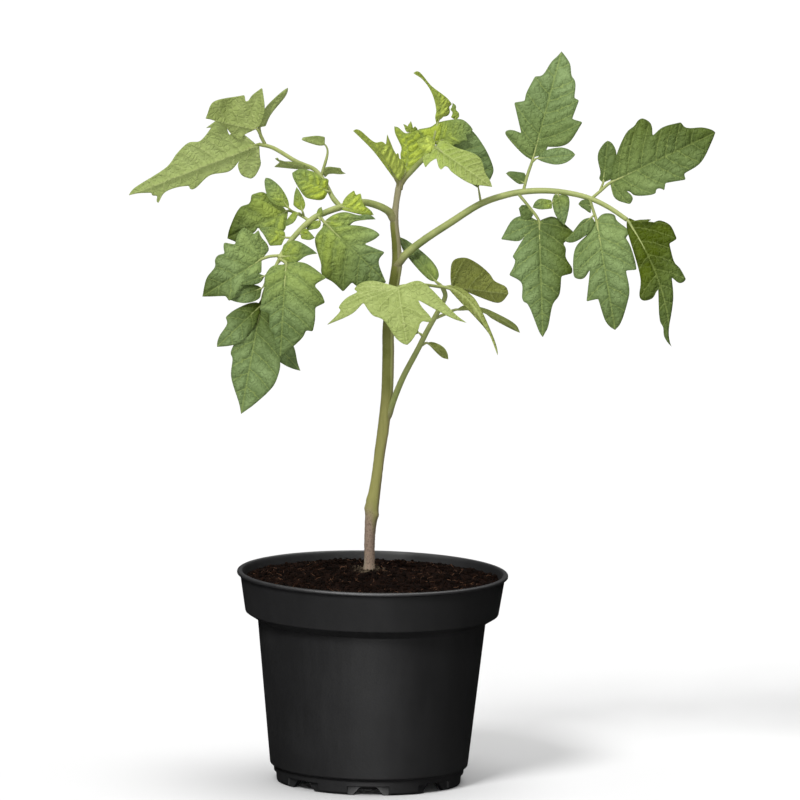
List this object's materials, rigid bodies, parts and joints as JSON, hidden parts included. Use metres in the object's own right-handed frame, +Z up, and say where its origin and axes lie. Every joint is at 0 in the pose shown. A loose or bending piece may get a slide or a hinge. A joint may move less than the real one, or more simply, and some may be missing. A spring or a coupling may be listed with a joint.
{
  "type": "potted tomato plant",
  "caption": "Young tomato plant with compound, toothed leaves on one bare stem, growing in soil in a round stepped plastic nursery pot.",
  "frame": {"origin": "middle of the pot's underside, on the surface it stands on", "axes": "+Z up along the stem, +X to the viewer's right in the picture's view, +Y away from the viewer"},
  "size_m": [0.3027, 0.1488, 0.3773],
  "materials": {
    "pot_plastic": "matte charcoal moulded plastic",
    "potting_soil": "dark, crumbly peat mix",
    "stem_tissue": "olive green with a purple side, finely hairy",
    "leaf_tissue": "mid green, veined and quilted, dull",
    "pale_leaf_tissue": "pale green underside and olive upper side",
    "young_leaf_tissue": "yellow green, crinkled"
  },
  "bodies": {
    "root": {"pot": "pot_plastic", "soil": "potting_soil", "stem": "stem_tissue", "leaf_right": "leaf_tissue", "leaf_left": "leaf_tissue", "leaf_lower": "pale_leaf_tissue", "shoot_tip": "young_leaf_tissue"}
  },
  "joints": []
}
